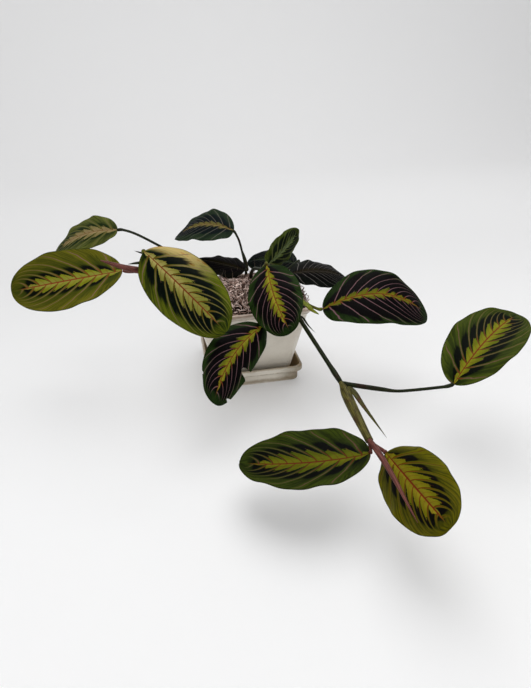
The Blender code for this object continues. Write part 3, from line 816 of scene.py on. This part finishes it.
petioles = {
    "petiole_back_left": {"radius": 1.15, "finish": "stem_dark", "sheath": 0.35,
                          "route": ((-53.4, -26, 123), (-61.4, -20.7, 128.6), (-76, -13, 138),
                                    (-98, -0.3, 148.6), (-110.5, 5.5, 152.4), (-116.2, 8, 152.2))},
    "petiole_far_left": {"radius": 1.15, "finish": "stem_pink", "sheath": 0.5,
                         "route": ((-86.5, -45.7, 130.5), (-91.3, -44.4, 129.2), (-99, -42, 128),
                                   (-108.1, -37.5, 126.8), (-112.4, -36.1, 128.1))},
    "petiole_front_left": {"radius": 1.5, "finish": "stem_green", "sheath": 0.5,
                           "route": ((-76.4, -43.4, 132.4), (-82, -47, 138.4), (-90, -52.4, 145.4),
                                     (-92, -55, 149), (-91, -57, 150.2))},
    "petiole_top": {"radius": 1.15, "finish": "stem_dark", "sheath": 0.3,
                    "route": ((6, 40, 68), (6, 40, 92), (1.6, 41, 119), (-2, 43.2, 129.5),
                              (-4.4, 45.2, 133))},
    "petiole_shade_left": {"radius": 1.1, "finish": "stem_dark", "sheath": 0.0,
                           "route": ((2.6, 39, 113.2), (5, 29, 105.5), (5.6, 22.6, 97.6), (3.4, 23.8, 97))},
    "petiole_shade_back": {"radius": 1.1, "finish": "stem_dark", "sheath": 0.3,
                           "route": ((25.2, -10.8, 96.7), (33.1, -6.1, 99.4), (46, 2, 104), (57, 13, 106),
                                     (58.4, 17.2, 101.6), (56.3, 18.8, 101))},
    "petiole_young": {"radius": 1.2, "finish": "stem_green", "sheath": 0.4,
                      "route": ((15.3, -23.5, 115.1), (17, -20.4, 114.8), (18.6, -15.2, 113.2),
                                (19.7, -14.3, 113.8))},
    "petiole_centre": {"radius": 1.3, "finish": "stem_green", "sheath": 0.4,
                       "route": ((14, -27.2, 116.2), (14.4, -30.3, 119.1), (14.8, -34.3, 123.3),
                                 (15, -37.6, 122.2))},
    "petiole_shade_right": {"radius": 1.1, "finish": "stem_dark", "sheath": 0.3,
                            "route": ((24.7, -15.5, 97.8), (27.4, -18, 99.8), (31, -22, 104),
                                      (36.4, -32.4, 110.6), (38.6, -32.1, 110.1))},
    "petiole_right": {"radius": 1.3, "finish": "stem_green", "sheath": 0.5,
                      "route": ((23.6, -16.1, 91.9), (27.4, -25, 94.4), (34, -40, 98), (46, -60, 91),
                                (56.1, -63.9, 85.8), (60.5, -64, 85))},
    "petiole_hanging": {"radius": 1.2, "finish": "stem_dark", "sheath": 0.3,
                        "route": ((21.1, -16.5, 96), (18.5, -26.9, 97.7), (14, -45, 100), (8, -70, 92),
                                  (4.4, -80.3, 85.7), (2.3, -82.7, 84.2))},
    "petiole_far_right": {"radius": 1.25, "finish": "stem_dark", "sheath": 0.45,
                          "route": ((51.5, -152, 60.6), (60, -154.8, 59.4), (80, -162, 57.4),
                                    (91.4, -165.9, 56.5), (103, -168.2, 57), (122, -171.6, 58.8),
                                    (130, -173, 59.8), (135.2, -173, 61))},
    "petiole_low_front": {"radius": 1.15, "finish": "stem_pink", "sheath": 0.0,
                          "route": ((53, -207, 49), (52.8, -212, 47.2), (52.2, -216.5, 45.8),
                                    (51, -219, 45))},
    "petiole_low_right": {"radius": 1.3, "finish": "stem_pink", "sheath": 0.0,
                          "route": ((53, -211.3, 49.5), (55.7, -214.7, 48), (60, -218.6, 46),
                                    (61, -221.6, 46))},
}


def petioleRadius(petiole):
    # a sheathing foot, a slender stalk, and a swollen joint under the leaf
    def radiusAt(u):
        radius = petiole["radius"]
        foot = petiole["sheath"]
        if foot:
            radius *= 1 + footSwell * smooth(foot, foot * 0.5, u)
        swell = jointSwell * smooth(0.78, 0.88, u)
        return radius * (1 + swell) * mix(1.0, 0.75, smooth(0.96, 1.0, u))
    return radiusAt


# spindle shapes: young leaves still rolled up, and pointed bracts
spindles = {
    "rolled_leaf_right": {"radius": 2.2, "flat": 0.8, "blunt": 0.75, "finish": "stem_pink",
                          "route": ((52.9, -211, 50.3), (52.7, -226, 52.6), (53, -250, 53),
                                    (51, -291, 54))},
    "rolled_leaf_left": {"radius": 3.4, "flat": 0.85, "blunt": 0.6, "finish": "stem_pink",
                         "route": ((-88.3, -49.1, 130.5), (-97, -51, 132), (-109, -52, 136),
                                   (-128, -48, 142.5))},
    "bract_right": {"radius": 2.4, "flat": 0.4, "finish": "bract", "slot": "stem_green",
                    "route": ((55.4, -157.3, 60.1), (57.6, -164.8, 59.2), (60, -180, 56), (68, -207, 46))},
    "bract_left": {"radius": 2.2, "flat": 0.5, "blunt": 0.8, "finish": "stem_dark",
                   "route": ((-67.1, -37.2, 130.6), (-76, -41.7, 136.8), (-92, -50, 146),
                             (-99, -55, 150.5))},
    "bract_tip": {"radius": 2.4, "flat": 0.5, "blunt": 0.8, "finish": "stem_dark",
                  "route": ((-84, -49.5, 137.5), (-92, -55, 140), (-99, -59.5, 141.4), (-105, -63, 142.2))},
    "bract_centre": {"radius": 1.0, "flat": 0.6, "finish": "stem_dark",
                     "route": ((36.4, -78.5, 87.6), (38.2, -83.2, 86.5), (40, -92, 84), (45, -98, 79))},
}


def makeStems():
    finishes = {name: makeStemMaterial(name, look) for name, look in stemLooks.items()}
    for node, stem in stems.items():
        tube = rollTube(node, stem["route"], stemRadius(stem), steps=14)
        settle(tube, "fine_" + node, [finishes[stem["finish"]]], stem["finish"], node)
    for node, petiole in petioles.items():
        tube = rollTube(node, petiole["route"], petioleRadius(petiole), steps=10)
        settle(tube, "fine_" + node, [finishes[petiole["finish"]]], petiole["finish"], node)
    for node, spindle in spindles.items():
        widest, blunt = spindle["radius"], spindle.get("blunt", 1.0)

        def radiusAt(u):
            return widest * max(0.03, math.sin(math.pi * (0.25 + 0.745 * u))) ** blunt
        tube = rollTube(node, spindle["route"], radiusAt, steps=10, flat=spindle["flat"])
        stoodFor = [node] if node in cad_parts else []
        settle(tube, "fine_" + node, [finishes[spindle["finish"]]],
               spindle.get("slot", spindle["finish"]), *stoodFor)
    print("stems ready")


# pot and saucer: a rounded square pulled up through the sections of its wall

potShape = {
    "corner": 6.0,
    # side and height of each section, outside from the foot up, over the rim, then down inside
    "sections": ((70.6, 3.3), (72, 4.3), (105, 76.6), (108.6, 77.0), (109.4, 77.8), (110, 80.8),
                 (109.2, 81.8),
                 (107.5, 82), (104.2, 82), (102.6, 81.5), (101.6, 79.8), (67.5, 8.0), (65, 6.3)),
}

saucerShape = {
    "corner": 7.0,
    "sections": ((86.5, 0), (88, 0.9), (88.3, 10.6), (89.2, 11.2), (94.6, 11.4), (96, 12.6), (96, 16.2),
                 (95.2, 17.2), (93.8, 17.5), (91.2, 17.4), (90, 16.4), (82.5, 4.6), (81, 3.4), (79, 3.0)),
}


def pullSections(name, shape):
    deselectAll()
    low, height = shape["sections"][0]
    bpy.ops.mesh.primitive_plane_add(size=low * mm, location=(0, 0, height * mm))
    piece = bpy.context.object
    bpy.ops.object.transform_apply(location=True)
    bpy.ops.object.mode_set(mode="EDIT")
    bpy.ops.mesh.select_all(action="SELECT")
    bpy.ops.mesh.bevel(offset=shape["corner"] * mm, segments=8, affect="VERTICES")
    bpy.ops.mesh.select_all(action="SELECT")
    for side, top in shape["sections"][1:]:
        bpy.ops.mesh.extrude_region_move(TRANSFORM_OT_translate={"value": (0, 0, (top - height) * mm)})
        grow = side / low
        bpy.ops.transform.resize(value=(grow, grow, 1), center_override=(0, 0, top * mm))
        low, height = side, top
    bpy.ops.mesh.select_all(action="SELECT")
    bpy.ops.mesh.normals_make_consistent(inside=False)
    bpy.ops.object.mode_set(mode="OBJECT")
    edges = piece.modifiers.new("edges", "BEVEL")
    edges.width = 0.35 * mm
    edges.segments = 2
    edges.limit_method = "ANGLE"
    edges.angle_limit = math.radians(25)
    level = piece.modifiers.new("level", "WEIGHTED_NORMAL")
    level.weight = 80
    applyModifiers(piece)
    pickOnly(piece)
    bpy.ops.object.shade_smooth_by_angle(angle=math.radians(50))
    return piece


# the saucer's inner wall leans out from this half width at the ground, by this much for each metre up
saucerFloor, saucerSlope = 0.0393, 0.36


def makeGlaze(name, stainAndShadeLines, stainPlace):
    # warm pale glaze; each line round it has a height, a reach, a tone and a strength, and darkens the
    # glaze there: some lines are real stains, some painted shade
    material, tree, shader = newMaterial(name, 0.3, 0.5)
    place = objectPlace(tree)
    x, y, z = splitPlace(tree, place)
    cloud = noise(tree, place, 28.0, 4.0)
    speck = noise(tree, place, 420.0, 2.0, 0.5)
    film = noise(tree, place, 140.0, 5.0, 0.7)
    colour = blendColour(tree, ramp(tree, cloud, 0.35, 0.65), paint("#cbc3b5"), paint("#dcd5c7"))
    colour = blendColour(tree, ramp(tree, film, 0.55, 0.75, 0.0, 0.25), colour, paint("#b3a58f"))
    height = calc(tree, "ADD", z, swing(tree, film, 0.006))
    for middle, reach, tone, amount in stainAndShadeLines:
        away = calc(tree, "ABSOLUTE", calc(tree, "SUBTRACT", height, middle * mm))
        line = ramp(tree, away, reach * mm, 0.0, 0.0, amount)
        colour = blendColour(tree, line, colour, paint(tone))
    if stainPlace:
        # a brown stain where water has stood in one corner
        offset = tree.nodes.new("ShaderNodeVectorMath")
        offset.operation = "DISTANCE"
        tree.links.new(place, offset.inputs[0])
        offset.inputs[1].default_value = [value * mm for value in stainPlace]
        stain = calc(tree, "ADD", offset.outputs["Value"], calc(tree, "MULTIPLY", film, 0.008))
        colour = blendColour(tree, ramp(tree, stain, 0.034, 0.010, 0.0, 0.95), colour, paint("#6b5b3c"))
        # the whole inside of the saucer, within its inner wall, turns a darker brown
        apart = calc(tree, "MAXIMUM", calc(tree, "ABSOLUTE", x), calc(tree, "ABSOLUTE", y))
        wall = calc(tree, "MULTIPLY_ADD", z, saucerSlope, saucerFloor)
        within = calc(tree, "SUBTRACT", apart, wall)
        colour = blendColour(tree, ramp(tree, within, 0.0006, 0.0002, 0.0, 0.75), colour, paint("#8a7048"))
    colour = blendColour(tree, ramp(tree, speck, 0.72, 0.76, 0.0, 0.6), colour, paint("#5c554c"))
    tree.links.new(colour, shader.inputs["Base Color"])
    tree.links.new(calc(tree, "MULTIPLY_ADD", film, 0.35, 0.16), shader.inputs["Roughness"])
    shader.inputs["Coat Weight"].default_value = 0.35
    shader.inputs["Coat Roughness"].default_value = 0.15
    bump(tree, shader, calc(tree, "ADD", cloud, calc(tree, "MULTIPLY", film, 0.15)), 0.25, 0.0008)
    return material


def makeCrumbs(name, scale, detail, high, tones, relief):
    # rough dark crumbs: the soil, and the shade under the moss
    material, tree, shader = newMaterial(name, 0.95, 0.1)
    crumbs = noise(tree, objectPlace(tree), scale, detail, 0.7)
    colour = blendColour(tree, ramp(tree, crumbs, 0.35, high), paint(tones[0]), paint(tones[1]))
    tree.links.new(colour, shader.inputs["Base Color"])
    bump(tree, shader, crumbs, 0.9, relief)
    return material


def makePot():
    # pot lines, from the top: real soil stain round the rim; painted shade under the rim's overhang; the
    # foot, down inside the saucer, turns a paler brown
    potGlaze = makeGlaze("potGlaze", ((81.5, 5.5, "#93745e", 0.75), (76.8, 1.6, "#8a765e", 0.7),
                                      (6.0, 8.0, "#b39f82", 0.5)), None)
    # saucer lines: painted shade under the lip's overhang; a darker line along the top of the lip; painted
    # shade along the foot where it stands on the floor, which also darkens the saucer's floor round the
    # pot's foot
    saucerGlaze = makeGlaze("saucerGlaze", ((11.0, 1.8, "#8b7a5e", 0.75), (17.5, 1.8, "#a08c6c", 0.65),
                                            (3.0, 4.0, "#7d6b4c", 0.7)), (46, -36, 10))
    pot = pullSections("pot", potShape)
    settle(pot, "fine_pot", [potGlaze], "glaze", "pot")
    saucer = pullSections("saucer", saucerShape)
    settle(saucer, "fine_saucer", [saucerGlaze], "glaze", "saucer")
    soil = bpy.data.objects["soil"]
    soil.data.materials.clear()
    soil.data.materials.append(makeCrumbs("soil", 260.0, 6.0, 0.65, ("#1c130d", "#4a3626"), 0.002))
    print("pot, saucer and soil ready")


# moss: a dark lumpy bed under loose curled strands

mossBed = {
    "half": 50.0, "edge": 80.0, "rise": 8.0, "cells": 60,
    "inset": 3.0,       # strands lie this far in from the bed's edge
    "strands": 1900, "hairs": 70, "overRim": 90,
    "kinds": 12, "joints": 6, "jointLength": 1.9,   # different curls, and how each is made up
    "tones": {"mossPale": "#ead4ca", "mossTan": "#a88c80", "mossBrown": "#5a463c"},
    "shares": (0.45, 0.35, 0.20),
}


def mossTop(x, y):
    # height of the moss at (x, y), each from -1 to 1 across the pot
    dome = (1 - x ** 4) * (1 - y ** 4)
    return mossBed["edge"] + (mossBed["rise"] + 1.3 * math.sin(7 * x + 1.5) * math.cos(6 * y - 0.4)) * dome


def makeStrandShapes(dice):
    # a few curls, each a thin four-sided tube bent along a loose arc
    shapes = []
    for _ in range(mossBed["kinds"]):
        points, place = [], Vector((0, 0, 0))
        heading, pitch = dice.uniform(0, 6.28), 0.0
        turn, climb = dice.uniform(-1.5, 1.5), dice.uniform(-0.35, 0.35)
        for _ in range(mossBed["joints"]):
            points.append(place.copy())
            heading += turn * dice.uniform(0.4, 1.1)
            pitch += climb + dice.uniform(-0.4, 0.4)
            place += Vector((math.cos(heading) * math.cos(pitch), math.sin(heading) * math.cos(pitch),
                             math.sin(pitch) * 0.6)) * mossBed["jointLength"]
        middle = sum(points, Vector()) / len(points)
        thick = dice.uniform(0.34, 0.56)
        shape = rollTube("strand", [p - middle for p in points],
                         lambda u, thick=thick: thick * (1 - 0.6 * abs(2 * u - 1) ** 3), steps=2, around=4)
        shapes.append(shape)
    return shapes


def scatter(shapes, places, dice):
    # copies of the strands, each with its own turn and size, joined into one mesh for each tone
    meshes = {tone: bmesh.new() for tone in mossBed["tones"]}
    for place, tilt, size in places:
        tone = dice.choices(list(meshes), weights=mossBed["shares"])[0]
        bm = meshes[tone]
        first = len(bm.verts)
        bm.from_mesh(dice.choice(shapes).data)
        turn = Euler((dice.gauss(0, tilt), dice.gauss(0, tilt), dice.uniform(0, 6.28))).to_matrix()
        bm.verts.ensure_lookup_table()
        for vertex in bm.verts[first:]:
            vertex.co = turn @ vertex.co * size + Vector(place) * mm
    return meshes


def makeMoss():
    dice = random.Random(41)
    half = mossBed["half"]
    bpy.ops.mesh.primitive_grid_add(x_subdivisions=mossBed["cells"], y_subdivisions=mossBed["cells"],
                                    size=2, location=(0, 0, 0))
    bed = bpy.context.object
    for vertex in bed.data.vertices:
        x, y = vertex.co.x, vertex.co.y
        lump = dice.uniform(-0.8, 0.4) if max(abs(x), abs(y)) < 0.98 else 0.0
        vertex.co = (x * half * mm, y * half * mm, (mossTop(x, y) - 1.6 + lump) * mm)
    thick = bed.modifiers.new("depth", "SOLIDIFY")
    thick.thickness = 3 * mm
    thick.offset = -1.0
    applyModifiers(bed)
    bpy.ops.object.shade_smooth()
    shade = makeCrumbs("mossShade", 300.0, 5.0, 0.7, ("#120c09", "#3a2c24"), 0.0015)
    settle(bed, "fine_moss_bed", [shade], "moss", "moss")

    shapes = makeStrandShapes(dice)
    places, reach = [], half - mossBed["inset"]
    for _ in range(mossBed["strands"]):
        x, y = dice.uniform(-1, 1), dice.uniform(-1, 1)
        places.append(((x * reach, y * reach, mossTop(x, y) + dice.uniform(-1.6, 1.2)), 0.45,
                       dice.uniform(0.75, 1.35)))
    for _ in range(mossBed["overRim"]):
        # strands that hang over the right-hand rim
        y = dice.uniform(-30, 42)
        out = abs(dice.gauss(0, 2.6))
        places.append(((half + 1 + out, y, 85.5 - out * 0.7 + dice.gauss(0, 1.2)), 0.9,
                       dice.uniform(0.8, 1.4)))
    for tone, bm in scatter(shapes, places, dice).items():
        mesh = bpy.data.meshes.new(tone)
        bm.to_mesh(mesh)
        bm.free()
        strands = bpy.data.objects.new(tone, mesh)
        bpy.context.collection.objects.link(strands)
        pickOnly(strands)
        bpy.ops.object.shade_smooth()
        finish, tree, shader = newMaterial(tone, 0.85, 0.2)
        shift = noise(tree, objectPlace(tree), 220.0, 3.0)
        pale = paint(mossBed["tones"][tone])
        dull = (pale[0] * 0.42, pale[1] * 0.38, pale[2] * 0.35, 1.0)
        colour = blendColour(tree, ramp(tree, shift, 0.35, 0.65), dull, pale)
        tree.links.new(colour, shader.inputs["Base Color"])
        bump(tree, shader, noise(tree, objectPlace(tree), 1500.0, 2.0), 0.4, 0.0003)
        settle(strands, "fine_" + tone, [finish], "moss")

    # fine dry hairs standing at the back
    hairs = []
    for _ in range(mossBed["hairs"]):
        foot = Vector((dice.uniform(-40, 40), dice.uniform(20, 46), 86))
        lean = Vector((dice.gauss(0, 0.5), dice.gauss(0.1, 0.4), 1)).normalized()
        length = dice.uniform(5, 16)
        bend = Vector((dice.gauss(0, 1.6), dice.gauss(0, 1.6), 0))
        hairs.append(rollTube("hair", (foot, foot + lean * length * 0.5 + bend, foot + lean * length),
                              lambda u: 0.28 * (1.1 - u), steps=3, around=3))
    deselectAll()
    for hair in hairs:
        hair.select_set(True)
    bpy.context.view_layer.objects.active = hairs[0]
    bpy.ops.object.join()
    finish, tree, shader = newMaterial("mossHair", 0.8, 0.2)
    tone = noise(tree, objectPlace(tree), 90.0, 2.0)
    colour = blendColour(tree, tone, paint("#8a7a6a"), paint("#4a3c30"))
    tree.links.new(colour, shader.inputs["Base Color"])
    settle(hairs[0], "fine_moss_hairs", [finish], "moss")
    for shape in shapes:
        bpy.data.objects.remove(shape)
    print("moss ready")


# sheaths: leaf bases wrapped round the shoots

sheathLooks = {
    "sheathOlive": {"light": "#5e5828", "deep": "#27220f", "blush": "#40281c"},
    "flapGreen": {"light": "#7c8424", "deep": "#4a5214", "blush": "#6a5a24"},
}

sheathRoutes = {
    "sheath_right": ((51.1, -151.3, 60.9), (51.8, -160, 58.2), (52, -175, 55), (52.6, -195, 51.7),
                     (53, -211, 49.5)),
    "sheath_flap": ((43.3, -59, 92.7), (45, -66, 92), (48, -70.5, 89.4), (55, -72, 84)),
}


def makeSheaths():
    olive, green = (makeStemMaterial(name, look) for name, look in sheathLooks.items())
    sheath = rollTube("sheath", sheathRoutes["sheath_right"],
                      lambda u: mix(2.0, 4.1, smooth(0.0, 0.34, u)) * mix(1.0, 0.70, smooth(0.4, 1.0, u)),
                      steps=10, around=20)
    settle(sheath, "fine_sheath_right", [olive], "stem_green", "sheath_right")
    flap = rollTube("flap", sheathRoutes["sheath_flap"],
                    lambda u: 2.6 * max(0.06, math.sin(math.pi * (0.2 + 0.78 * u)) ** 0.7),
                    steps=10, around=14, flat=0.3, wobble=0.16)
    settle(flap, "fine_sheath_flap", [green], "stem_green", "sheath_flap")
    print("sheaths ready")


makeStudio()
makeBlades()
makeStems()
makeSheaths()
makePot()
makeMoss()
